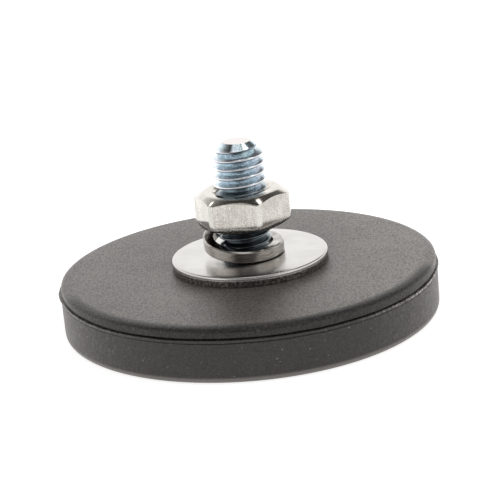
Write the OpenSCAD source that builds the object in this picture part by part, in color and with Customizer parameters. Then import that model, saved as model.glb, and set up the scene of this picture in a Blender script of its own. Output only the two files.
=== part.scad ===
// Rubber coated magnet with a threaded stud, a flat washer, a spring washer and a hex nut.
// Lengths are in millimetres. The origin is the centre of the magnet face, and +Z runs along the stud.

/* [Rubber coat] */
// Diameter over the parting ridge
coat_d = 43; // [40:0.5:60]
// Rubber under the magnets
bottom_skin = 0.6; // [0.4:0.1:1.5]
// Rubber over the steel plate
top_skin = 0.9; // [0.6:0.1:2]
// Rubber around the steel plate
side_wall = 2.4; // [1.5:0.1:4]
// Height of the narrower cap above the parting ridge
cap_h = 1.25; // [1:0.05:2]
// Step in from the lower wall to the cap's wall
cap_inset = 0.1; // [0.05:0.01:0.3]
// Radius of the cap's rounded rim
cap_round = 0.7; // [0.3:0.05:0.9]
// Radius of the edge round the magnet face
face_round = 0.5; // [0.2:0.05:1]
// Height of the parting ridge
ridge_h = 0.3; // [0.2:0.05:0.6]
// How far the parting ridge stands out from the lower wall
ridge_out = 0.12; // [0.05:0.01:0.14]

/* [Magnets and plate] */
// Number of disc magnets in the ring
magnet_count = 6; // [3:1:6]
// Diameter of one disc magnet
magnet_d = 10; // [6:0.5:11]
// Height of one disc magnet
magnet_h = 3; // [2:0.5:5]
// Plate left outside the ring of magnets
magnet_margin = 1.5; // [0.5:0.1:2]
// Thickness of the steel plate
plate_h = 1.5; // [1:0.1:3]

/* [Stud] */
// Major diameter of the stud's thread
stud_d = 5.8; // [5.7:0.02:5.98]
// Length of the stud above the coat
stud_out = 14.3; // [13:0.1:30]
// Pitch of the thread
thread_pitch = 1; // [0.75:0.25:1]
// Flat on the stud's tip
tip_d = 3.4; // [2.5:0.1:4.5]
// Diameter of the stud's flat head
head_d = 10; // [8:0.5:12]
// Height of the stud's flat head
head_h = 1.5; // [1:0.1:2]

/* [Flat washer] */
// Outer diameter of the flat washer
washer_d = 17.8; // [12:0.1:24]
// Hole of the flat washer
washer_bore = 6.6; // [6.6:0.1:7]
// Thickness of the flat washer
washer_t = 1; // [0.8:0.1:2]
// Rounding that blanking leaves on the washer's upper edge
washer_round = 0.2; // [0.1:0.05:0.4]
// Sideways play that the washer has taken up
washer_shift = 0.35; // [-0.35:0.05:0.35]

/* [Spring washer] */
// Outer diameter of the spring washer
spring_d = 9.1; // [8.5:0.1:12]
// Hole of the spring washer
spring_bore = 6.7; // [6.6:0.1:6.9]
// Thickness of the spring washer's section
spring_t = 1.25; // [1:0.05:1.8]
// Bevel on the edges of the spring washer's section
spring_bevel = 0.15; // [0.05:0.05:0.25]
// Rise of the open spring washer from one end to the other
spring_rise = 2.3; // [1:0.1:2.6]
// Lean of the unloaded spring washer, in degrees
spring_lean = 5.5; // [0:0.5:8]
// Direction of that lean round the stud, in degrees
spring_lean_to = -105; // [-180:5:180]
// Sideways play that the spring washer has taken up
spring_shift = -0.22; // [-0.22:0.01:0.22]
// Direction of the split round the stud, in degrees
split_angle = 90; // [-180:5:180]
// Width of the split, in degrees
split_width = 8; // [4:1:15]
// Slant of the split's faces, in degrees round the axis
split_slant = 9; // [0:1:15]

/* [Hex nut] */
// Width across the nut's flats
nut_flats = 9.75; // [9.6:0.05:10]
// Width across the nut's rounded corners
nut_corners = 10.95; // [10.8:0.05:11]
// Height of the nut
nut_h = 4.2; // [4:0.1:6]
// Round face inside the nut's chamfers
nut_face_d = 8.5; // [8.4:0.1:9.5]
// Angle of the nut's chamfers, in degrees
nut_chamfer = 30; // [15:1:35]
// Mouth of the nut's countersinks
sink_d = 6.4; // [6.3:0.1:7]
// Angle of the nut's countersinks, in degrees
sink_angle = 45; // [30:1:60]
// Turn of the nut about the stud, in degrees
nut_turn = -10; // [-30:1:30]
// Radial gap between the nut's bore and the stud
thread_gap = 0.04; // [0.02:0.01:0.1]

/* [Hidden] */
$fn = 96;

magnet_names = [for (i = [1:magnet_count]) str("magnet_", i)];

// Overshoot of a cutting shape past the faces that it opens
through = 1;

// Coat: radii of its walls and the levels of its layers
ridge_r = coat_d / 2;
wall_r = ridge_r - ridge_out;
cap_r = wall_r - cap_inset;
magnet_z = bottom_skin;
plate_z = magnet_z + magnet_h;
coat_h = plate_z + plate_h + top_skin;
parting_z = coat_h - cap_h;

// Plate and magnets
plate_r = wall_r - side_wall;
magnet_circle_r = plate_r - magnet_margin - magnet_d / 2;

// Where stud and nut engage, both are drawn at the pitch diameter of a 60 degree thread
pitch_d = stud_d - 3 / 4 * cos(30) * thread_pitch;
stud_top = coat_h + stud_out;
tip_chamfer = (stud_d - tip_d) / 2;

// Nut
washer_top = coat_h + washer_t;
nut_chamfer_h = (nut_corners - nut_face_d) / 2 * tan(nut_chamfer);
nut_bore_d = pitch_d + 2 * thread_gap;
sink_depth = (sink_d - nut_bore_d) / 2 * tan(sink_angle);

// Spring washer: a bevelled rectangle carried round a left-handed helix, then leant over
helix_steps = 64;
spring_sweep = 360 - split_width;
spring_mean_r = (spring_d + spring_bore) / 4;
spring_half_w = (spring_d - spring_bore) / 4;
spring_section = [
    [-spring_half_w + spring_bevel, 0],
    [spring_half_w - spring_bevel, 0],
    [spring_half_w, spring_bevel],
    [spring_half_w, spring_t - spring_bevel],
    [spring_half_w - spring_bevel, spring_t],
    [-spring_half_w + spring_bevel, spring_t],
    [-spring_half_w, spring_t - spring_bevel],
    [-spring_half_w, spring_bevel]
];
section_n = len(spring_section);

// A section point at the share u of the way from the low end to the high end
function helix_point(u, s) =
    let (
        slant = split_slant * (s.y / spring_t - 1 / 2),
        a = split_angle - split_width / 2 - spring_sweep * u + slant,
        r = spring_mean_r + s.x
    )
    [r * cos(a), r * sin(a), spring_rise * u + s.y];

// A point of the spring washer tipped about its own middle, so that one side sinks
lean_dir = [cos(spring_lean_to), sin(spring_lean_to)];
spring_middle = (spring_rise + spring_t) / 2;
function leant(p) =
    let (
        out = p.x * lean_dir.x + p.y * lean_dir.y,
        up = p.z - spring_middle,
        shift = out * (cos(spring_lean) - 1) + up * sin(spring_lean)
    )
    [p.x + shift * lean_dir.x, p.y + shift * lean_dir.y, up * cos(spring_lean) - out * sin(spring_lean)];

spring_points = [
    for (i = [0:helix_steps])
        for (s = spring_section)
            leant(helix_point(i / helix_steps, s))
];
spring_heights = [for (p = spring_points) p.z];
spring_z = washer_top - min(spring_heights);

// The nut stands on the highest point of the spring washer
nut_z = spring_z + max(spring_heights);
nut_top = nut_z + nut_h;

// One rounded outer edge of a half section: the layer at its level and the arc that closes it
module rounded_edge(radius, level, arc_level, round_r) {
    translate([0, level])
        square([radius - round_r, round_r]);
    translate([radius - round_r, arc_level])
        circle(round_r);
}

// Half section of a round disc between two levels, with its lower and upper outer edges rounded
module disc_section(radius, low, high, low_round = 0, high_round = 0) {
    translate([0, low + low_round])
        square([radius, high - low - low_round - high_round]);
    if (low_round > 0)
        rounded_edge(radius, low, low + low_round, low_round);
    if (high_round > 0)
        rounded_edge(radius, high - high_round, high - high_round, high_round);
}

// The coat's outside: cap, lower wall and parting ridge in one turned section
module coat_outside() {
    rotate_extrude() {
        disc_section(cap_r, 0, coat_h, face_round, cap_round);
        disc_section(wall_r, 0, parting_z, low_round = face_round);
        translate([ridge_r - ridge_h / 2, parting_z - ridge_h / 2])
            circle(ridge_h / 2);
    }
}

// The stud's solid: head, shank, the neck inside the nut and the chamfered free end
module stud_solid() {
    rotate_extrude()
        polygon([
            [0, plate_z - head_h],
            [head_d / 2, plate_z - head_h],
            [head_d / 2, plate_z],
            [stud_d / 2, plate_z],
            [stud_d / 2, nut_z],
            [pitch_d / 2, nut_z],
            [pitch_d / 2, nut_top],
            [stud_d / 2, nut_top],
            [stud_d / 2, stud_top - tip_chamfer],
            [tip_d / 2, stud_top],
            [0, stud_top]
        ]);
}

module magnet_solid(i) {
    rotate([0, 0, 360 / magnet_count * (i - 1)])
        translate([magnet_circle_r, 0, magnet_z])
            cylinder(d = magnet_d, h = magnet_h);
}

module rubber_coat() {
    color([0.17, 0.17, 0.17])
        difference() {
            coat_outside();
            translate([0, 0, plate_z])
                cylinder(r = plate_r, h = plate_h);
            for (i = [1:magnet_count])
                magnet_solid(i);
            stud_solid();
        }
}

module steel_plate() {
    color([0.55, 0.56, 0.58])
        difference() {
            translate([0, 0, plate_z])
                cylinder(r = plate_r, h = plate_h);
            translate([0, 0, plate_z - through])
                cylinder(d = stud_d, h = plate_h + 2 * through);
        }
}

module disc_magnet(i) {
    color([0.76, 0.77, 0.78])
        magnet_solid(i);
}

module threaded_stud() {
    color([0.68, 0.75, 0.80])
        stud_solid();
}

module flat_washer() {
    color([0.90, 0.89, 0.86])
        translate([washer_shift, 0, coat_h])
            difference() {
                rotate_extrude()
                    disc_section(washer_d / 2, 0, washer_t, high_round = washer_round);
                translate([0, 0, -through])
                    cylinder(d = washer_bore, h = washer_t + 2 * through);
            }
}

// Facets run from ring to ring along the helix, and each end is closed by one section
module spring_washer() {
    last = helix_steps * section_n;
    sides = [
        for (i = [0:helix_steps - 1])
            for (k = [0:section_n - 1])
                let (next = (k + 1) % section_n)
                [
                    i * section_n + k,
                    i * section_n + next,
                    (i + 1) * section_n + next,
                    (i + 1) * section_n + k
                ]
    ];
    low_end = [for (k = [section_n - 1:-1:0]) k];
    high_end = [for (k = [0:section_n - 1]) last + k];
    color([0.60, 0.57, 0.53])
        translate([spring_shift, 0, spring_z])
            polyhedron(spring_points, concat(sides, [low_end, high_end]));
}

// A hexagon bar turned to a chamfer at both faces, drilled and countersunk
module hex_nut() {
    color([0.84, 0.83, 0.80])
        translate([0, 0, nut_z])
            difference() {
                intersection() {
                    rotate([0, 0, nut_turn])
                        cylinder(d = nut_flats / cos(30), h = nut_h, $fn = 6);
                    rotate_extrude()
                        polygon([
                            [0, 0],
                            [nut_face_d / 2, 0],
                            [nut_corners / 2, nut_chamfer_h],
                            [nut_corners / 2, nut_h - nut_chamfer_h],
                            [nut_face_d / 2, nut_h],
                            [0, nut_h]
                        ]);
                }
                translate([0, 0, -through])
                    cylinder(d = nut_bore_d, h = nut_h + 2 * through);
                cylinder(d1 = sink_d, d2 = nut_bore_d, h = sink_depth);
                translate([0, 0, nut_h - sink_depth])
                    cylinder(d1 = nut_bore_d, d2 = sink_d, h = sink_depth);
            }
}

rubber_coat();
steel_plate();
threaded_stud();
flat_washer();
spring_washer();
hex_nut();
for (i = [1:magnet_count])
    disc_magnet(i);
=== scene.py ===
"""A rubber coated magnet with a threaded stud, a flat washer, a spring washer and a hex nut.

Each shown piece is a surface worked out with numpy, in millimetres, and set into the frame in metres.
"""

import math

import bmesh
import bpy
import numpy as np
from mathutils import Matrix, Vector


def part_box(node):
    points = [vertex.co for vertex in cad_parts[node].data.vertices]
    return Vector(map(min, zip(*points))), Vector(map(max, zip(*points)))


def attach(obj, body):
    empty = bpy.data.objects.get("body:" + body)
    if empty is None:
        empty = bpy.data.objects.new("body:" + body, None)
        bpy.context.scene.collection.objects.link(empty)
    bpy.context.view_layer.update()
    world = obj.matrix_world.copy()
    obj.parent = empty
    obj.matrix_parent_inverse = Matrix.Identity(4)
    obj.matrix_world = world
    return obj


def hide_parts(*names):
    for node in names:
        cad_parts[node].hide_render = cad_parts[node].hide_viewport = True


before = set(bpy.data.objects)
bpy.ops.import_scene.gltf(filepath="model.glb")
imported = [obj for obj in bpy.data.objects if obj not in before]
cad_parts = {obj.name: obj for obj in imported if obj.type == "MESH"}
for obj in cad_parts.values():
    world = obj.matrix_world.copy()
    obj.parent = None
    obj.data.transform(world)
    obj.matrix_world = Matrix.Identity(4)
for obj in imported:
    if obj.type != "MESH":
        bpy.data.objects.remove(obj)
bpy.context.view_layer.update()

MM = 0.001
BODY = "root"
WELD = 2e-8
SHARP_EDGE = math.radians(38)


# Sizes that the frame gives, in millimetres

def node_box(node):
    """Lowest and highest corner of a CAD node."""
    low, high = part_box(node)
    return np.array(low) / MM, np.array(high) / MM


def node_disc(node):
    """Centre, radius and both levels of a round CAD node."""
    low, high = node_box(node)
    return (low + high) / 2, (high[0] - low[0]) / 2, low[2], high[2]


_, ridge_r, coat_low, coat_top = node_disc("rubber_coat")
_, plate_r, plate_low, plate_top = node_disc("steel_plate")
_, head_r, head_low, stud_top = node_disc("threaded_stud")
washer_middle, washer_r, washer_low, washer_top = node_disc("flat_washer")
_, _, nut_low, nut_top = node_disc("hex_nut")
spring_low = node_box("spring_washer")[0][2]
magnet_names = sorted(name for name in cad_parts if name.startswith("magnet_"))


# Sizes of the rubber coat

wall_r = ridge_r - 0.04
cap_r = wall_r - 0.13
flat_border = 3.0
face_round = 0.62
cap_round = 1.70
pocket_soft = 0.02

parting_z = coat_top - 1.25
parting_lift = 0.05
parting_tilt = 0.08
parting_wave = 0.03

bead_h = 0.30
line_h = 0.06
line_depth = 0.09
line_wave = 0.02
line_edge_soft = 0.10
line_soft = 0.03

lip_out = 0.05
lip_wave = 0.025
lip_foot_soft = 0.05
lip_soft = 0.10
lip_edge_soft = 0.06

groove_depth = 0.20
groove_rise = 0.15
groove_floor = 0.03
groove_soft = 0.05
groove_edge_soft = 0.08
groove_opening = 0.8
groove_opening_wave = 0.4
groove_opening_power = 8

flash_out = 0.26
flash_angle = math.radians(184.3)
flash_width = math.radians(8.5)
flash_right_out = 0.10
flash_right_angle = 0.0
flash_right_width = math.radians(11)
flash_torn = 0.25

COAT_COLUMNS = 720
SECTOR_SIDE_STEPS = 10
SECTOR_ROWS = 5

# Wandering lines round the coat: a seed, the least and the most waves, and how fast short waves die away
LIP_LINE = (3, (3, 40), 0.7)
TORN_LINE = (5, (40, 150), 0.2)
GROOVE_LINE = (6, (20, 120), 0.3)
PARTING_LINE = (8, (2, 30), 0.8)
BEAD_LINE = (9, (2, 40), 0.6)


# Sizes of the stud, the washers and the nut

pitch = 1.0
stud_r = 2.9
thread_r = 2.96
crest_half = 0.06
flank_slope = math.sqrt(3)
crest_ease = 0.07
root_round = 0.05
crest_z = stud_top - 1.40
lead_length = 1.4
lead_slope = 0.65
lead_fill = (0.3, 0.8)
tip_r = 1.6
tip_slope = 1.2
tip_ease = 0.12
thread_start = coat_top + 0.25
run_out_soft = 0.05
shank_soft = 0.02
head_soft = 0.05
THREAD_STEPS = 20
STUD_COLUMNS = 240

washer_bore_r = 3.3
washer_face = washer_top + 0.2
washer_border = 1.0
washer_bore_low_soft = 0.08
washer_foot_soft = 0.06
washer_wall_soft = 0.02
washer_edge_soft = 0.27
washer_face_soft = 0.10
washer_bore_soft = 0.16
WASHER_COLUMNS = 360

spring_r = 4.55
spring_bore_r = 3.35
spring_t = 1.25
spring_soft = 0.12
bevel_w = 0.19
bevel_h = 0.165
bevel_soft = 0.02
spring_rise = 2.3
spring_lean = math.radians(5.5)
spring_lean_to = math.radians(-105)
spring_shift = -0.22
split_middle = math.radians(90)
split_width = math.radians(8)
split_slant = math.radians(9)
SPRING_STEPS = 320
SPRING_END = 0.005
SPRING_END_SHARE = (0, 0, 0, 0.0006, 0.002)
SPRING_END_SCALE = (0, 0.5, 0.9, 0.965, 0.99)

nut_flat_r = 4.875
nut_corner_r = 5.475
nut_face_r = 4.25
nut_chamfer = math.radians(30)
nut_corner_ease = 0.03
nut_turn = math.radians(-11.5)
nut_top_soft = 0.32
nut_top_arc_soft = 0.08
nut_low_arc_soft = 0.10
nut_low_soft = 0.20
sink_r = 3.32
sink_angle = math.radians(45)
thread_gap = 0.04
NUT_COLUMNS = 480


# Surfaces

CURVE_STEPS = 6
SIDE_SHARE = 0.45
NO_LENGTH = 1e-9


def polar(radius, angle, height):
    """Points at a radius, an angle round the axis and a height; the three arrays are spread to one grid."""
    radius, angle, height = np.broadcast_arrays(radius, angle, height)
    return np.stack([radius * np.cos(angle), radius * np.sin(angle), height], axis=-1)


def around(columns, start=0.0):
    """Angles of evenly spaced columns, one full turn."""
    return start + 2 * np.pi * np.arange(columns) / columns


def grid_faces(rows, columns, close_rows=False):
    """Quads of a grid numbered row by row, closed from the last column to the first.

    With close_rows the last row is joined to the first as well.
    """
    row = np.arange(rows if close_rows else rows - 1)[:, None]
    column = np.arange(columns)[None, :]
    next_row = (row + 1) % rows * columns
    next_column = (column + 1) % columns
    here = row * columns
    corners = (here + column, here + next_column, next_row + next_column, next_row + column)
    return np.stack(np.broadcast_arrays(*corners), axis=-1).reshape(-1, 4)


def outline_points(rows, columns):
    """Outline corners by columns: each corner's radius and height may be one number or one per column."""
    spread = [[np.broadcast_to(value, columns) for value in row] for row in rows]
    return np.moveaxis(np.array(spread, float), 1, 2)


def soft_outline(rows, columns, closed=False):
    """An outline whose corners are drawn as quadratic curves, from rows of radius, height and softness.

    A corner p starts its curve at a point s on the way to the last corner and ends it at a point e on the
    way to the next one: (1-t)^2 s + 2t(1-t) p + t^2 e. Both points lie the softness away, or a set share of
    the side where that is less. The outline is an array of points by columns by (radius, height). An open
    one keeps its two end points.
    """
    corners = outline_points([row[:2] for row in rows], columns)
    soft = np.array([row[2] for row in rows], float)[:, None, None]
    ahead = np.roll(corners, -1, axis=0) - corners
    behind = np.roll(corners, 1, axis=0) - corners

    def reach(side):
        length = np.linalg.norm(side, axis=-1, keepdims=True)
        return side / np.maximum(length, NO_LENGTH) * np.minimum(soft, SIDE_SHARE * length)

    start = corners + reach(behind)
    end = corners + reach(ahead)
    t = np.linspace(0, 1, CURVE_STEPS + 1)[None, :, None, None]
    curves = (1 - t) ** 2 * start[:, None] + 2 * t * (1 - t) * corners[:, None] + t ** 2 * end[:, None]
    if closed:
        return curves.reshape(-1, *corners.shape[1:])
    inner = curves[1:-1].reshape(-1, *corners.shape[1:])
    return np.concatenate([corners[:1], inner, corners[-1:]])


def turned_sheet(outline, angle, closed=False):
    """Points and faces of an outline of (radius, height) by columns, carried round the axis."""
    points = polar(outline[..., 0], angle[None, :], outline[..., 1])
    return points, grid_faces(points.shape[0], points.shape[1], close_rows=closed)


def eased_least(a, b, ease):
    """The least of two lengths, rounded where one takes over: (a + b - sqrt((a - b)^2 + ease^2)) / 2."""
    return (a + b - np.sqrt((a - b) ** 2 + ease ** 2)) / 2


def thread_radius(phase, crest_r, fill=0.0):
    """Radius of a 60 degree thread at a number of pitches from a crest.

    The flanks are the two arms of a hyperbola that stands on the root:
    crest_r + slope * (sqrt(d^2 + w^2) - top), where d is the distance from the root in pitches and w rounds
    the root. The flat crest cuts them off. A fill of 1 leaves no groove.
    """
    from_root = 0.5 - np.abs(phase - np.round(phase)) * (1 - fill)
    flank = crest_r + flank_slope * pitch * (np.hypot(from_root, root_round) - 0.5 + crest_half)
    return eased_least(flank, crest_r, crest_ease)


def thread_sheet(angle, low, high, radius_at, low_r, high_r):
    """A grid sheared along the helix between two levels.

    Each row keeps one phase of the thread, so the point of a row at an angle a stands at
    crest_z + (phase + a / 2 pi) * pitch, stopped at both levels. The last column meets the first one a pitch
    up. radius_at gives the radius from phase and height, and low_r and high_r those of the two end rings.
    """
    columns = len(angle)
    turns = angle / (2 * np.pi)
    first = math.floor((low - crest_z) / pitch - turns.max()) - 1
    last = math.ceil((high - crest_z) / pitch - turns.min()) + 1
    phase = np.arange(first * THREAD_STEPS, last * THREAD_STEPS + 1)[:, None] / THREAD_STEPS
    height = np.clip(crest_z + (phase + turns[None, :]) * pitch, low, high)
    radius = np.select([height <= low, height >= high], [low_r, high_r], radius_at(phase, height))
    points = polar(radius, angle[None, :], height)
    rows = len(phase)
    inside = grid_faces(rows, columns).reshape(rows - 1, columns, 4)[:, :-1].reshape(-1, 4)
    row = np.arange(rows - 1 - THREAD_STEPS) * columns
    up = row + THREAD_STEPS * columns
    seam = np.stack([row + columns - 1, up, up + columns, row + 2 * columns - 1], axis=-1)
    return points, np.concatenate([inside, seam])


def joined(*sheets):
    """Several sheets of points and faces as one."""
    points = [np.reshape(sheet_points, (-1, 3)) for sheet_points, _ in sheets]
    starts = np.cumsum([0] + [len(sheet_points) for sheet_points in points[:-1]])
    faces = [sheet_faces + start for (_, sheet_faces), start in zip(sheets, starts)]
    return np.concatenate(points), np.concatenate(faces)


def add_piece(name, sheet, finish, node):
    """One welded piece from points in millimetres and quads, riding on the body in its CAD node's place."""
    points, faces = sheet
    points = points.reshape(-1, 3)
    mesh = bpy.data.meshes.new(name)
    mesh.vertices.add(len(points))
    mesh.vertices.foreach_set("co", (points * MM).astype(np.float32).ravel())
    mesh.loops.add(faces.size)
    mesh.loops.foreach_set("vertex_index", faces.astype(np.int32).ravel())
    mesh.polygons.add(len(faces))
    mesh.polygons.foreach_set("loop_start", np.arange(0, faces.size, 4, dtype=np.int32))
    mesh.update(calc_edges=True)
    shell = bmesh.new()
    shell.from_mesh(mesh)
    bmesh.ops.remove_doubles(shell, verts=shell.verts, dist=WELD)
    bmesh.ops.recalc_face_normals(shell, faces=shell.faces)
    shell.to_mesh(mesh)
    shell.free()
    mesh.polygons.foreach_set("use_smooth", np.ones(len(mesh.polygons), dtype=bool))
    mesh.set_sharp_from_angle(angle=SHARP_EDGE)
    mesh.materials.append(finish)
    piece = bpy.data.objects.new(name, mesh)
    bpy.context.scene.collection.objects.link(piece)
    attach(piece, BODY)
    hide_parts(node)


# The rubber coat

def ragged(angle, seed, waves, steepness):
    """A wandering line between -1 and 1: a sum of sines of whole numbers of waves, with seeded phases."""
    draw = np.random.default_rng(seed)
    count = np.arange(waves[0], waves[1])
    shift = draw.uniform(0, 2 * np.pi, len(count))
    weight = draw.uniform(0.4, 1, len(count)) / count ** steepness
    wave = (weight[:, None] * np.sin(count[:, None] * angle[None, :] + shift[:, None])).sum(axis=0)
    return wave / np.abs(wave).max()


def flash(angle, middle, width):
    """A flat-topped bump round a direction: exp(-(a / width)^4), where a is the angle from its middle."""
    away = (angle - middle + np.pi) % (2 * np.pi) - np.pi
    return np.exp(-(away / width) ** 4)


def coat_lip(angle):
    """How far the parting lip stands out: a wandering line, with torn flash at the left and the right."""
    torn = 1 - flash_torn + flash_torn * ragged(angle, *TORN_LINE)
    left = flash_out * flash(angle, flash_angle, flash_width)
    right = flash_right_out * flash(angle, flash_right_angle, flash_right_width)
    return lip_out + lip_wave * ragged(angle, *LIP_LINE) + (left + right) * torn


def coat_outside(angle):
    """The coat's outside from the middle of its face over wall, lip, groove and cap to the plate's pocket.

    The parting level wanders and stands a little higher at the left, by a cosine of the angle. The groove
    above it opens towards both sides, by a power of the cosine.
    """
    lip = coat_lip(angle)
    sideways = np.cos(angle) ** groove_opening_power
    opening = sideways * (groove_opening + groove_opening_wave * ragged(angle, *GROOVE_LINE))
    tilt = parting_lift - parting_tilt * np.cos(angle)
    level = parting_z + tilt + parting_wave * ragged(angle, *PARTING_LINE)
    line_z = level - bead_h - line_wave * ragged(angle, *BEAD_LINE)
    rows = [
        (0, coat_low, 0),
        (wall_r - flat_border, coat_low, 0),
        (wall_r, coat_low, face_round),
        (wall_r, line_z - 2 * line_h, line_edge_soft),
        (wall_r - line_depth, line_z - line_h, line_soft),
        (wall_r + 0.5 * lip, line_z, lip_foot_soft),
        (wall_r + lip, level - 0.35 * bead_h, lip_soft),
        (wall_r + 0.8 * lip, level, lip_edge_soft),
        (cap_r - groove_depth * (1 + opening), level + groove_floor, groove_soft),
        (cap_r, level + groove_rise * (1 + opening), groove_edge_soft),
        (cap_r, coat_top, cap_round),
        (cap_r - flat_border, coat_top, 0),
        (stud_r, coat_top, pocket_soft),
        (stud_r, plate_top, pocket_soft),
        (plate_r, plate_top, pocket_soft),
        (plate_r, plate_low, 0),
    ]
    return turned_sheet(soft_outline(rows, len(angle)), angle)


def head_pocket(angle):
    """The pocket of the stud's flat head, under the plate."""
    rows = [(head_r, plate_low, 0), (head_r, head_low, pocket_soft), (0, head_low, 0)]
    return turned_sheet(soft_outline(rows, len(angle)), angle)


def magnet_pocket(name, angle):
    """The floor of the plate's pocket round one magnet, and the magnet's own pocket.

    The floor is one sector between the head's edge and the plate's edge, with its middle on the column of
    the coat that is nearest to the magnet. Round its border run the outer arc, one side, the inner arc and
    the other side. Each border point is joined to the point of the magnet's circle that lies in the same
    direction from the magnet's middle, with evenly shared rows between them.
    """
    middle, radius, low, _ = node_disc(name)
    column = 2 * np.pi / len(angle)
    nearest = round(math.atan2(middle[1], middle[0]) / column)
    half = len(angle) // len(magnet_names) // 2
    arc = column * np.arange(nearest - half, nearest + half + 1)
    out = np.linspace(head_r, plate_r, SECTOR_SIDE_STEPS + 1)
    border_r = np.concatenate([
        np.full(len(arc) - 1, plate_r),
        out[:0:-1],
        np.full(len(arc) - 1, head_r),
        out[:-1],
    ])
    border_a = np.concatenate([
        arc[:-1],
        np.full(SECTOR_SIDE_STEPS, arc[-1]),
        arc[:0:-1],
        np.full(SECTOR_SIDE_STEPS, arc[0]),
    ])
    border = polar(border_r, border_a, plate_low)
    away = np.arctan2(border[:, 1] - middle[1], border[:, 0] - middle[0])
    edge = polar(radius, away, plate_low) + [middle[0], middle[1], 0]
    share = np.linspace(0, 1, SECTOR_ROWS)[:, None, None]
    floor = border + (edge - border) * share
    drop = edge + [0, 0, low - plate_low]
    centre = np.broadcast_to([middle[0], middle[1], low], drop.shape)
    points = np.concatenate([floor, drop[None], centre[None]])
    return points, grid_faces(points.shape[0], points.shape[1])


def coat_sheet():
    """The coat with its pockets, one closed surface."""
    angle = around(COAT_COLUMNS)
    pockets = [magnet_pocket(name, angle) for name in magnet_names]
    return joined(coat_outside(angle), head_pocket(angle), *pockets)


# The stud

def stud_sheet():
    """The stud: helical thread with a rolled lead and a coned tip, plain shank and flat head.

    Over the lead the thread's crest falls away in a straight line towards the tip, and the last groove fills
    up along its turn. The radius is the eased least of the thread's section and the cone of the tip, and at
    the thread's foot the run-out.
    """
    angle = around(STUD_COLUMNS)
    root_r = thread_radius(0.5, thread_r)
    fill_start, fill_end = lead_fill

    def radius_at(phase, height):
        depth = stud_top - height
        crest_r = thread_r - lead_slope * np.maximum(0, lead_length - depth)
        turns = (height - crest_z) / pitch - phase
        fill = np.clip((turns - fill_start) / (fill_end - fill_start) + 2 * np.floor(phase), 0, 1)
        cone = tip_r + tip_slope * depth
        run_out = root_r + (height - thread_start)
        return np.minimum(eased_least(thread_radius(phase, crest_r, fill), cone, tip_ease), run_out)

    tip_edge_r = radius_at(0.0, stud_top)
    tip_rows = [(tip_edge_r, stud_top), (0.5 * tip_edge_r, stud_top), (0, stud_top)]
    foot_rows = [
        (root_r, thread_start, 0),
        (stud_r, coat_top, run_out_soft),
        (stud_r, plate_low, shank_soft),
        (head_r, plate_low, head_soft),
        (head_r, head_low, head_soft),
        (0, head_low, 0),
    ]
    thread = thread_sheet(angle, thread_start, stud_top, radius_at, root_r, tip_edge_r)
    tip = turned_sheet(outline_points(tip_rows, STUD_COLUMNS), angle)
    foot = turned_sheet(soft_outline(foot_rows, STUD_COLUMNS), angle)
    return joined(thread, tip, foot)


# The washers

def flat_washer_sheet():
    """A flat ring with a rolled upper edge, turned about its own axis."""
    rows = [
        (washer_bore_r, washer_low, washer_bore_low_soft),
        (washer_r, washer_low, washer_foot_soft),
        (washer_r, (washer_low + washer_top) / 2, washer_wall_soft),
        (washer_r, washer_face, washer_edge_soft),
        (washer_r - washer_border, washer_face, washer_face_soft),
        (washer_bore_r, washer_face, washer_bore_soft),
    ]
    outline = soft_outline(rows, WASHER_COLUMNS, closed=True)
    points, faces = turned_sheet(outline, around(WASHER_COLUMNS), closed=True)
    return points + [washer_middle[0], washer_middle[1], 0], faces


def spring_washer_sheet():
    """A soft-edged rectangle with a bevelled upper edge, carried round a left-handed helix and tipped.

    At the share u of the way the angle is split_middle - split_width / 2 - sweep * u and the height is
    rise * u. The angle also shifts with the height in the section, so that the ends are slanted. At both
    ends the section shrinks to a point, which closes them. Then the side that faces spring_lean_to sinks by
    spring_lean, and the lower end is lifted to lie flat on the washer's face.
    """
    half_w = (spring_r - spring_bore_r) / 2
    mean_r = (spring_r + spring_bore_r) / 2
    half_t = spring_t / 2
    rows = [
        (-half_w, -half_t, spring_soft),
        (half_w, -half_t, spring_soft),
        (half_w, half_t - bevel_h, bevel_soft),
        (half_w - bevel_w, half_t, bevel_soft),
        (-half_w, half_t, spring_soft),
    ]
    section = soft_outline(rows, 1, closed=True)[:, 0]
    end_share = np.array(SPRING_END_SHARE)
    end_scale = np.array(SPRING_END_SCALE)
    middle_share = np.linspace(SPRING_END, 1 - SPRING_END, SPRING_STEPS)
    share = np.concatenate([end_share, middle_share, 1 - end_share[::-1]])[:, None]
    scale = np.concatenate([end_scale, np.ones(SPRING_STEPS), end_scale[::-1]])[:, None]
    across = section[None, :, 0] * scale
    upward = section[None, :, 1] * scale
    sweep = 2 * np.pi - split_width
    angle = split_middle - split_width / 2 - sweep * share + split_slant * upward / spring_t
    flat = polar(mean_r + across, angle, spring_rise * (share - 0.5) + upward)
    lean_to = np.array([math.cos(spring_lean_to), math.sin(spring_lean_to)])
    out = flat[..., :2] @ lean_to
    push = out * (math.cos(spring_lean) - 1) + flat[..., 2] * math.sin(spring_lean)
    leant = np.concatenate([
        flat[..., :2] + push[..., None] * lean_to,
        (flat[..., 2] * math.cos(spring_lean) - out * math.sin(spring_lean))[..., None],
    ], axis=-1)
    leant += [spring_shift, 0, spring_low - leant[..., 2].min()]
    leant[..., 2] += np.maximum(0, washer_face - leant[..., 2].min(axis=1, keepdims=True))
    return leant, grid_faces(leant.shape[0], leant.shape[1])


# The nut

def hexagon(angle):
    """Radius of the nut's wall: the hexagon's flat over the cosine, eased into the turned corner circle."""
    from_flat = (angle - nut_turn) % (np.pi / 3) - np.pi / 6
    return eased_least(nut_flat_r / np.cos(from_flat), nut_corner_r, nut_corner_ease)


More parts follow.
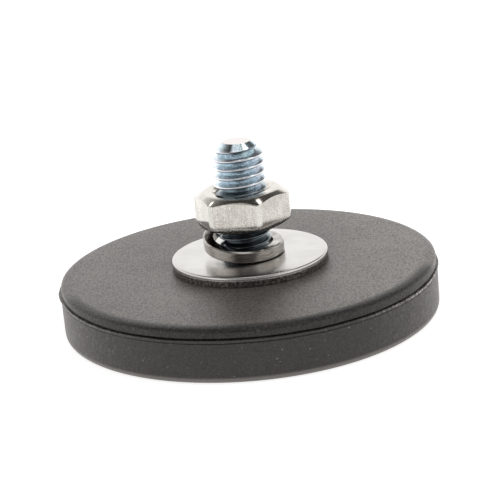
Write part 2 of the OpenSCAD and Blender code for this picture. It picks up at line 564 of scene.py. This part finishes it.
def nut_sheet():
    """A hexagon turned to a cone at both faces, with a threaded and countersunk bore.

    The cone falls from the round face by the tangent of its angle, so it meets the flats in arcs. In the
    bore the radius is the greatest of the thread's section with its gap and the two countersinks.
    """
    angle = around(NUT_COLUMNS, nut_turn)
    wall = hexagon(angle)
    fall = (wall - nut_face_r) * math.tan(nut_chamfer)
    rows = [
        (sink_r, nut_top, 0),
        (nut_face_r, nut_top, nut_top_soft),
        (wall, nut_top - fall, nut_top_arc_soft),
        (wall, (nut_top + nut_low) / 2, 0),
        (wall, nut_low + fall, nut_low_arc_soft),
        (nut_face_r, nut_low, nut_low_soft),
        (sink_r, nut_low, 0),
    ]

    def radius_at(phase, height):
        top_sink = sink_r - (nut_top - height) / math.tan(sink_angle)
        low_sink = sink_r - (height - nut_low) / math.tan(sink_angle)
        return np.maximum(np.maximum(top_sink, low_sink), thread_radius(phase, thread_r) + thread_gap)

    outside = turned_sheet(soft_outline(rows, NUT_COLUMNS), angle)
    return joined(outside, thread_sheet(angle, nut_low, nut_top, radius_at, sink_r, sink_r))


# Finishes

class Field:
    """A socket of a node tree. Arithmetic on it adds Math nodes and gives a new field."""

    def __init__(self, tree, socket=None):
        self.tree = tree
        self.socket = socket

    def node(self, kind, settings=None, inputs=None, output=0):
        """A node of one kind: its settings are set first, then the values or links of its sockets."""
        made = self.tree.nodes.new("ShaderNode" + kind)
        for name, value in (settings or {}).items():
            if name == "stops":
                set_stops(made.color_ramp, value)
            else:
                setattr(made, name, value)
        for name, value in (inputs or {}).items():
            plug(self.tree, made.inputs[name], value)
        return Field(self.tree, made.outputs[output])

    def math(self, operation, *values):
        """A Math node of one operation on fields and numbers."""
        return self.node("Math", {"operation": operation}, dict(enumerate(values)))

    def __add__(self, other):
        return self.math("ADD", self, other)

    def __sub__(self, other):
        return self.math("SUBTRACT", self, other)

    def __rsub__(self, other):
        return self.math("SUBTRACT", other, self)

    def __mul__(self, other):
        return self.math("MULTIPLY", self, other)

    def __pow__(self, other):
        return self.math("POWER", self, other)

    __radd__ = __add__
    __rmul__ = __mul__

    def step(self, low, high):
        """0 below low, 1 above high and a smooth rise between them."""
        inputs = {"Value": self, "From Min": low, "From Max": high}
        return self.node("MapRange", {"interpolation_type": "SMOOTHSTEP"}, inputs)

    def noise(self, scale, detail=2.0, rough=0.5):
        """Noise over a place, with a number of cells to the millimetre."""
        inputs = {"Vector": self, "Scale": scale, "Detail": detail, "Roughness": rough}
        return self.node("TexNoise", None, inputs)

    def stretched(self, x, y, z):
        """A place with each of its axes scaled."""
        return self.node("VectorMath", {"operation": "MULTIPLY"}, {0: self, 1: (x, y, z)})

    def part(self, axis):
        """One coordinate of a place."""
        return self.node("SeparateXYZ", None, {0: self}, axis)

    def mix(self, low, high):
        """A colour between two, by this field."""
        settings = {"data_type": "RGBA"}
        return self.node("Mix", settings, {0: self, 6: colour(low), 7: colour(high)}, 2)

    def bump(self, depth, strength=1.0):
        """A normal from heights, where 1 stands for a depth in millimetres."""
        return self.node("Bump", None, {"Height": self, "Distance": depth * MM, "Strength": strength})


def colour(value):
    """A colour as a socket takes it: a field as it is, three numbers with full opacity."""
    return value if isinstance(value, Field) else (*value, 1.0)


def plug(tree, socket, value):
    """Links a field to a socket, or sets the socket's own value."""
    if isinstance(value, Field):
        tree.links.new(value.socket, socket)
    else:
        socket.default_value = value


def set_stops(ramp, stops):
    """Sets a colour ramp's stops from pairs of position and colour."""
    while len(ramp.elements) < len(stops):
        ramp.elements.new(1.0)
    for element, (position, tone) in zip(ramp.elements, stops):
        element.position = position
        element.color = colour(tone)


def new_finish(name):
    """A material, its shader, and the place on the piece in millimetres."""
    material = bpy.data.materials.new(name)
    material.use_nodes = True
    tree = material.node_tree
    start = Field(tree)
    metres = start.node("TexCoord", output="Object")
    place = start.node("VectorMath", {"operation": "SCALE"}, {0: metres, "Scale": 1 / MM})
    return material, tree.nodes["Principled BSDF"], place


def dress(material, shader, inputs):
    """Sets or links the shader's sockets."""
    for name, value in inputs.items():
        plug(material.node_tree, shader.inputs[name], value)
    return material


def radius_of(place):
    """Distance from the axis."""
    x = place.part("X")
    y = place.part("Y")
    return (x * x + y * y) ** 0.5


# Bands over which the finishes change, from and to, and how far some of them shift, in millimetres

# Band at the coat's foot lightened as a painted reflection of the floor
painted_floor_reflection_band = (coat_low + 0.45, coat_low + 0.78)
wall_up_to = (parting_z - 0.10, parting_z + 0.20)
lip_from = (parting_z - 0.25, parting_z - 0.13)
lip_up_to = (parting_z + 0.03, parting_z + 0.10)
lip_tilt = 0.004
rim_above = (parting_z + 0.10, parting_z + 0.35)
rim_outside = (cap_r - 1.65, cap_r - 0.75)
# The film on the top is partly a dust bloom and partly painted light; over the rim behind and paler at the
# right it is painted light
film_and_painted_light_above = (coat_top - 0.05, coat_top - 0.01)
painted_light_over_rim = 0.6
painted_light_over_rim_behind = (-8.8, -4.8)
painted_light_paler_right = (4.0, 19.0)
scuffed_beyond = (9.0, 20.0)
torn_more_right = (0.0, 14.0)

crest_outside = (thread_r - 0.20, thread_r - 0.06)
cone_above = (stud_top - 0.95, stud_top - 0.65)
tip_above = (stud_top - 0.03, stud_top - 0.01)
# Painted shade on the stud from just above the nut's top down, inside the nut and the spring washer
painted_shade_up_to = (nut_top - 0.30, nut_top + 0.90)
# Band of painted shade in a line under each crest
shade_under_crest_from = (-0.24 * pitch, -0.15 * pitch)
shade_under_crest_up_to = (-0.08 * pitch, -0.03 * pitch)

corner_outside = (nut_corner_r - 0.05, nut_corner_r - 0.02)
# Band of painted shade and pits along the nut's lower edge, with a wandering top
low_band_up_to = (nut_low + 1.13, nut_low + 1.37)
low_band_wander = 0.9

edge_outside = (washer_r - 0.07, washer_r - 0.02)
edge_up_to = (washer_top - 0.29, washer_top - 0.20)


# Tones of the finishes

RUBBER_DARK = (0.003, 0.0026, 0.0024)
RUBBER_PALE = (0.022, 0.020, 0.0185)
RUBBER_SHEEN = (1.0, 0.93, 0.88, 1.0)
RUBBER_IOR = 1.43
# Film on the top: partly dust bloom, partly painted light; the paler right-hand tone is painted light
FILM_AND_PAINTED_LIGHT_LEFT = (0.118, 0.111, 0.105)
FILM_AND_PAINTED_LIGHT_RIGHT = (0.212, 0.201, 0.191)
# Painted reflection of the floor on the coat's foot
PAINTED_FLOOR_REFLECTION = (0.155, 0.148, 0.142)
SCUFFED_WALL = (0.17, 0.165, 0.16)
TORN_FLECK = (0.62, 0.61, 0.59)
DUST = (0.20, 0.19, 0.18)

ZINC_TINTS = [
    (0.30, (0.75, 0.73, 0.80)),
    (0.44, (0.63, 0.71, 0.77)),
    (0.55, (0.58, 0.69, 0.74)),
    (0.70, (0.64, 0.75, 0.75)),
]
ZINC_SPECK = (0.33, 0.39, 0.45)
# Painted highlight on the thread's crests
ZINC_PAINTED_CREST_HIGHLIGHT = (0.86, 0.86, 0.89)
# Painted shade on the stud from the nut down
ZINC_PAINTED_SHADE = (0.12, 0.135, 0.145)
ZINC_TIP = (0.57, 0.53, 0.51)
# Painted shade under each crest
PAINTED_SHADE_UNDER_CREST = (0.05, 0.055, 0.06)

NICKEL_DARK = (0.43, 0.402, 0.362)
NICKEL_PALE = (0.68, 0.652, 0.612)
# Painted highlight on the nut's turned corners
NICKEL_PAINTED_CORNER_HIGHLIGHT = (0.76, 0.745, 0.72)
# Painted shade and pits at the nut's lower edge
NICKEL_PITS_AND_PAINTED_SHADE = (0.025, 0.022, 0.020)

WASHER_DARK = (0.49, 0.475, 0.453)
WASHER_PALE = (0.56, 0.546, 0.525)
SHEARED_DARK = (0.07, 0.06, 0.055)
SHEARED_PALE = (0.28, 0.255, 0.24)

SPRING_DARK = (0.18, 0.166, 0.155)
SPRING_PALE = (0.42, 0.393, 0.367)
SPRING_RUBBED = (0.52, 0.495, 0.465)

PLATE_DARK = (0.42, 0.42, 0.43)
PLATE_PALE = (0.56, 0.56, 0.57)

MAGNET_DARK = (0.62, 0.61, 0.58)
MAGNET_PALE = (0.74, 0.73, 0.70)


def moulded_rubber():
    """Matt black rubber: fine grain, a pale film on the top, a dark rim, a lightened foot, a few specks of
    dust.

    The film is partly a dust bloom and partly painted light that lifts the top face. It runs over the rim at
    the back and the sides and is paler at the right, both painted light. The foot is a painted reflection of
    the floor. Towards both sides the wall is scuffed, and the torn parting lip has pale flecks.
    """
    material, shader, place = new_finish("moulded_rubber")
    across = place.part("X")
    height = place.part("Z")
    grain = place.stretched(1, 0.5, 1).noise(4.8, 2.0, 0.65)
    pores = place.stretched(1, 0.55, 1).noise(4.6, 1.0).step(0.64, 0.72)
    clouds = place.noise(0.16, 3.0)
    dust = place.noise(2.6, 1.0).step(0.71, 0.79)
    # Painted reflection of the floor, lightening the foot
    painted_floor_reflection = 1 - height.step(*painted_floor_reflection_band)
    wall = 1 - height.step(*wall_up_to)
    # Painted light: away from the front the film runs over the rim and the rim keeps more sheen
    back = place.part("Y").step(*painted_light_over_rim_behind)
    outer = radius_of(place).step(*rim_outside) * (1 - back * 0.8)
    rim = outer * height.step(*rim_above)
    topside = (height + back * painted_light_over_rim).step(*film_and_painted_light_above)
    # The film: partly a dust bloom, partly painted light that lifts the top face
    film_and_painted_light = (1 - outer) * topside * (1 - pores * 0.5)
    tone = 0.5 + ((grain * 0.8 + clouds * 0.2).step(0.42, 0.58) - 0.5) * (1 - wall * 0.5)
    plain = tone.mix(RUBBER_DARK, RUBBER_PALE)
    # Painted light: the film grows paler towards the right
    painted_light_film_tone = across.step(*painted_light_paler_right).mix(FILM_AND_PAINTED_LIGHT_LEFT, FILM_AND_PAINTED_LIGHT_RIGHT)
    with_film_and_painted_light = (film_and_painted_light * (0.5 + tone * 0.5)).mix(plain, painted_light_film_tone)
    # The foot's painted reflection of the floor mixed in
    lightened = (painted_floor_reflection * 0.8).mix(with_film_and_painted_light, PAINTED_FLOOR_REFLECTION)
    sides = (across * across).step(scuffed_beyond[0] ** 2, scuffed_beyond[1] ** 2)
    scuffs = place.stretched(1, 1, 0.6).noise(2.8, 4.0, 0.75).step(0.50, 0.64) * wall * sides
    scuffed = (scuffs * 0.45).mix(lightened, SCUFFED_WALL)
    lip_z = height + across * lip_tilt
    lip = lip_z.step(*lip_from) * (1 - lip_z.step(*lip_up_to))
    torn = 0.25 + across.step(*torn_more_right) * 0.75
    flecks = place.noise(3.6, 2.0, 0.6).step(0.50, 0.57) * lip * sides * torn
    flecked = (flecks * 0.9).mix(scuffed, TORN_FLECK)
    return dress(material, shader, {
        "Base Color": (dust * 0.5).mix(flecked, DUST),
        "Roughness": 0.35 + grain * 0.16 + clouds * 0.08,
        "IOR": RUBBER_IOR,
        "Coat Weight": (0.35 + tone * 0.45) * (1 - pores) * (1 - rim * 0.6 - wall * 0.12),
        "Coat Roughness": 0.42,
        "Coat IOR": RUBBER_IOR,
        "Coat Tint": RUBBER_SHEEN,
        "Normal": ((grain - pores * 0.4) * (1 - wall * 0.4)).bump(0.08, 0.6),
    })


def bright_zinc():
    """Blue passivated zinc on a rolled thread: drifting tints, a pale tip, crests paled as painted
    highlight, and painted shade from the nut down.

    A dark line of painted shade lies under each crest. It follows the helix: the height less what the thread
    climbs up to that angle round the axis, wrapped to the distance from the nearest crest.
    """
    material, shader, place = new_finish("bright_zinc")
    height = place.part("Z")
    drift = place.stretched(1, 1, 0.6).noise(0.42, 2.0)
    marks = place.stretched(1.2, 1.2, 11).noise(1.6, 3.0)
    specks = place.noise(6.0, 2.0, 0.6)
    tint = drift.node("ValToRGB", {"stops": ZINC_TINTS}, {0: drift})
    lead = height.math("MAXIMUM", height - (stud_top - lead_length), 0.0) * lead_slope
    crest = (radius_of(place) + lead).step(*crest_outside)
    climb = height.math("ARCTAN2", place.part("Y"), place.part("X")) * (pitch / (2 * math.pi))
    from_crest = height.math("WRAP", height - crest_z - climb, pitch / 2, -pitch / 2)
    # Painted shade under each crest, following the helix
    shade_under_crest = from_crest.step(*shade_under_crest_from) * (1 - from_crest.step(*shade_under_crest_up_to))
    cone = height.step(*cone_above)
    tip = height.step(*tip_above)
    # Painted shade from just above the nut's top down
    painted_shade = 1 - height.step(*painted_shade_up_to)
    speckled = specks.step(0.42, 0.66).mix(tint, ZINC_SPECK)
    # Painted highlight on the crests, left out where the painted shade from the nut down lies
    plain = (crest * (1 - painted_shade) * 0.7).mix(speckled, ZINC_PAINTED_CREST_HIGHLIGHT)
    # The painted shade under each crest mixed in
    with_shade_under_crest = (shade_under_crest * 0.65).mix(plain, PAINTED_SHADE_UNDER_CREST)
    # The painted shade from the nut down mixed in
    with_painted_shade = (painted_shade * 0.88).mix(with_shade_under_crest, ZINC_PAINTED_SHADE)
    return dress(material, shader, {
        "Base Color": tip.mix(with_painted_shade, ZINC_TIP),
        "Metallic": 1.0,
        "Roughness": (0.17 + marks * 0.12) * (1 - cone * 0.55),
        "Normal": (marks * 0.5 + specks * 0.5).bump(0.012, 0.6),
    })


def bright_nickel():
    """Nickel plated nut: drawn lines up the flats, sandy grain, corners paled as painted highlight, and a
    lower edge darkened with painted shade and pits.
    """
    material, shader, place = new_finish("bright_nickel")
    drawn = place.stretched(7, 7, 0.35).noise(1.0, 3.0, 0.6)
    sand = place.noise(6.5, 2.0, 0.6)
    pits = place.noise(4.8, 3.0, 0.65)
    clouds = place.noise(0.5, 2.0)
    corner = radius_of(place).step(*corner_outside)
    # Painted shade along the lower edge, with a wandering top and left off the corners; pits speckle it
    above_low_band = (place.part("Z") + pits * low_band_wander).step(*low_band_up_to)
    painted_shade_low_edge = (1 - above_low_band) * (1 - corner * 0.9)
    pitted = pits.step(0.44, 0.55) * painted_shade_low_edge
    tone = (drawn * 0.25 + sand * 0.5 + clouds * 0.25).step(0.38, 0.64)
    flat = tone.mix(NICKEL_DARK, NICKEL_PALE)
    # Painted highlight on the corners
    plain = (corner * 0.35).mix(flat, NICKEL_PAINTED_CORNER_HIGHLIGHT)
    return dress(material, shader, {
        # Painted shade and pits darken the lower edge
        "Base Color": (painted_shade_low_edge * 0.72 + pitted * 0.26).mix(plain, NICKEL_PITS_AND_PAINTED_SHADE),
        "Metallic": 1.0,
        "Roughness": 0.05 + drawn * 0.06 + pitted * 0.1,
        "Normal": (drawn * 0.3 + sand * 0.5 + pits * painted_shade_low_edge * 5).bump(0.005, 0.5),
    })


def polished_steel():
    """Flat washer: polished face, sheared and speckled edge."""
    material, shader, place = new_finish("polished_steel")
    centred = place.node("VectorMath", {"operation": "SUBTRACT"}, {0: place, 1: (washer_middle[0], 0, 0)})
    edge = radius_of(centred).step(*edge_outside) * (1 - place.part("Z").step(*edge_up_to))
    sheared = place.noise(3.6, 4.0, 0.7)
    clouds = place.noise(0.35, 3.0)
    face = clouds.step(0.3, 0.7).mix(WASHER_DARK, WASHER_PALE)
    torn = sheared.step(0.40, 0.66).mix(SHEARED_DARK, SHEARED_PALE)
    return dress(material, shader, {
        "Base Color": edge.mix(face, torn),
        "Metallic": 1.0,
        "Roughness": 0.19 + clouds * 0.08 + edge * 0.16,
        "Normal": (sheared * edge + clouds * 0.1).bump(0.03, 0.6),
    })


def satin_spring_steel():
    """Spring washer: dark satin steel with drawn lines along the coil and brighter rubbed patches."""
    material, shader, place = new_finish("satin_spring_steel")
    drawn = place.stretched(0.8, 0.8, 9).noise(1.2, 3.0, 0.6)
    lightened = place.stretched(1, 1, 0.3).noise(0.5, 1.0).step(0.42, 0.72)
    plain = drawn.step(0.3, 0.7).mix(SPRING_DARK, SPRING_PALE)
    return dress(material, shader, {
        "Base Color": (lightened * 0.5).mix(plain, SPRING_RUBBED),
        "Metallic": 1.0,
        "Roughness": 0.08 + drawn * 0.10,
        "Normal": drawn.bump(0.005, 0.5),
    })


def rolled_plate_steel():
    """Back plate inside the coat: cold rolled steel with faint rolling lines."""
    material, shader, place = new_finish("rolled_plate_steel")
    lines = place.stretched(0.2, 6, 1).noise(1.0, 3.0)
    tone = lines.step(0.3, 0.7).mix(PLATE_DARK, PLATE_PALE)
    return dress(material, shader, {
        "Base Color": tone,
        "Metallic": 1.0,
        "Roughness": 0.28 + lines * 0.16,
        "Normal": lines.bump(0.01, 0.4),
    })


def magnet_nickel():
    """Disc magnets: bright nickel with a faint orange peel."""
    material, shader, place = new_finish("magnet_nickel")
    peel = place.noise(2.4, 2.0)
    tone = peel.step(0.3, 0.7).mix(MAGNET_DARK, MAGNET_PALE)
    return dress(material, shader, {
        "Base Color": tone,
        "Metallic": 1.0,
        "Roughness": 0.14 + peel * 0.1,
        "Normal": peel.bump(0.01, 0.4),
    })


# Floor, light and camera, in metres

FLOOR_SIDE = 6.0
FLOOR_GAP = 1e-5
FLOOR_TONE = (0.60, 0.60, 0.60, 1.0)
FLOOR_GLOW = 1.05
FLOOR_GLOW_FRONT = (0.70, 0.70, 0.70)
FLOOR_GLOW_BACK = (1.0, 1.0, 1.0)
FLOOR_GLOW_RISE_MM = (-10, 60)

WALL_LIGHT = 1.42
ROOM_TONES = [
    (0.0, (1.0, 1.0, 1.0)),
    (0.72, (1.0, 1.0, 1.0)),
    (0.87, (0.30, 0.297, 0.294)),
    (0.94, (0.08, 0.078, 0.076)),
    (1.0, (0.03, 0.029, 0.028)),
]

# Patches of the room: heading, elevation and reach
FRONT = math.radians(-90)
DARK_FRONT = (FRONT, math.radians(24), math.radians(44))
DARK_RIGHT = (math.radians(54), math.radians(41), math.radians(24))
DARK_TONE = (0.06, 0.058, 0.056)
DARK_SHARE = 0.9
KEY = (FRONT, math.radians(78), math.radians(25))
KEY_TONE = (0.80, 0.80, 0.80)

# Soft boxes: heading, elevation and side
BOXES = {
    "soft_box_left": (math.radians(131), math.radians(49), 0.022),
    "soft_box_right": (math.radians(5), math.radians(64), 0.11),
    "soft_box_back": (math.radians(46), math.radians(66), 0.035),
}
BOX_POWER = 8.0
BOX_DISTANCE = 0.40

IMAGE_SIDE = 500
AIM_PIXEL = (249.9, 287.0)
AIM_HEIGHT = 0.003
FOCAL_PIXELS = 1667.5
SENSOR_WIDTH = 36.0
CLIP_START = 0.01
CAMERA_ELEVATION = math.radians(19.05)
CAMERA_ROLL = math.radians(5.352)
CAMERA_DISTANCE = 0.191


def lay_floor():
    """A plain pale floor, lit a little from below as a light table is, and more so behind the part."""
    half = FLOOR_SIDE / 2
    low = coat_low * MM - FLOOR_GAP
    corners = [(-half, -half, low), (half, -half, low), (half, half, low), (-half, half, low)]
    mesh = bpy.data.meshes.new("floor")
    mesh.from_pydata(corners, [], [(0, 1, 2, 3)])
    material, shader, place = new_finish("pale_floor")
    backward = place.part("Y").step(*FLOOR_GLOW_RISE_MM)
    mesh.materials.append(dress(material, shader, {
        "Base Color": FLOOR_TONE,
        "Roughness": 0.9,
        "Specular IOR Level": 0.1,
        "Emission Color": backward.mix(FLOOR_GLOW_FRONT, FLOOR_GLOW_BACK),
        "Emission Strength": FLOOR_GLOW,
    }))
    floor = bpy.data.objects.new("floor", mesh)
    bpy.context.scene.collection.objects.link(floor)


def add_soft_box(name, heading, elevation, side):
    """A square lamp high up in one direction, turned towards the part. Its power goes with its area."""
    data = bpy.data.lights.new(name, "AREA")
    data.size = side
    data.energy = BOX_POWER * side ** 2
    box = bpy.data.objects.new(name, data)
    bpy.context.scene.collection.objects.link(box)
    level = math.cos(elevation)
    away = Vector((level * math.cos(heading), level * math.sin(heading), math.sin(elevation)))
    box.matrix_world = (
        Matrix.Translation(BOX_DISTANCE * away)
        @ (-away).to_track_quat("-Z", "Y").to_matrix().to_4x4()
    )


def light_studio():
    """Soft light: bright walls under a dim ceiling, and soft boxes.

    Two patches of the room are dark, one on the camera's side and one at the right behind the part. A soft
    key stands above the dark front.
    """
    world = bpy.data.worlds.new("studio")
    world.use_nodes = True
    bpy.context.scene.world = world
    tree = world.node_tree
    start = Field(tree)
    ahead = start.node("TexCoord", output="Generated")
    height = ahead.part("Z")
    room = start.node("ValToRGB", {"stops": ROOM_TONES}, {0: height * 0.5 + 0.5})

    def patch(heading, elevation, reach):
        """1 within half the reach of a direction, falling to 0 at the full reach."""
        along = ahead.part("X") * math.cos(heading) + ahead.part("Y") * math.sin(heading)
        facing = height * math.sin(elevation) + along * math.cos(elevation)
        return facing.step(math.cos(reach), math.cos(reach / 2))

    shaded_right = (patch(*DARK_RIGHT) * DARK_SHARE).mix(room, DARK_TONE)
    shaded = (patch(*DARK_FRONT) * DARK_SHARE).mix(shaded_right, DARK_TONE)
    background = tree.nodes["Background"]
    plug(tree, background.inputs["Color"], patch(*KEY).mix(shaded, KEY_TONE))
    plug(tree, background.inputs["Strength"], WALL_LIGHT)
    for name, (heading, elevation, side) in BOXES.items():
        add_soft_box(name, heading, elevation, side)


def place_camera():
    """The camera in front of the part, looking down at a point of its axis, rolled and a little off aim.

    It is aimed at the point, turned back by the roll, and then turned so that the point comes to its pixel.
    """
    aim = Vector((0, 0, AIM_HEIGHT))
    back = Vector((0, -math.cos(CAMERA_ELEVATION), math.sin(CAMERA_ELEVATION)))
    half = IMAGE_SIDE / 2
    sight = Vector(((AIM_PIXEL[0] - half) / FOCAL_PIXELS, (half - AIM_PIXEL[1]) / FOCAL_PIXELS, -1))
    off_aim = Vector((0, 0, -1)).rotation_difference(sight)
    data = bpy.data.cameras.new("camera")
    data.sensor_width = SENSOR_WIDTH
    data.lens = FOCAL_PIXELS / IMAGE_SIDE * SENSOR_WIDTH
    data.clip_start = CLIP_START
    camera = bpy.data.objects.new("camera", data)
    bpy.context.scene.collection.objects.link(camera)
    camera.matrix_world = (
        Matrix.Translation(aim + CAMERA_DISTANCE * back)
        @ (-back).to_track_quat("-Z", "Y").to_matrix().to_4x4()
        @ Matrix.Rotation(-CAMERA_ROLL, 4, "Z")
        @ off_aim.inverted().to_matrix().to_4x4()
    )
    bpy.context.scene.camera = camera


def finish_node(node, finish):
    """Gives a CAD node that stays its own finish."""
    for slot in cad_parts[node].material_slots:
        slot.material = finish


# The part and its studio

add_piece("rubber_coat_moulding", coat_sheet(), moulded_rubber(), "rubber_coat")
add_piece("stud_with_thread", stud_sheet(), bright_zinc(), "threaded_stud")
add_piece("flat_washer_ring", flat_washer_sheet(), polished_steel(), "flat_washer")
add_piece("spring_washer_coil", spring_washer_sheet(), satin_spring_steel(), "spring_washer")
add_piece("hex_nut_turned", nut_sheet(), bright_nickel(), "hex_nut")

finish_node("steel_plate", rolled_plate_steel())
disc_finish = magnet_nickel()
for magnet in magnet_names:
    finish_node(magnet, disc_finish)

lay_floor()
light_studio()
place_camera()
bpy.context.scene.view_settings.view_transform = "Standard"
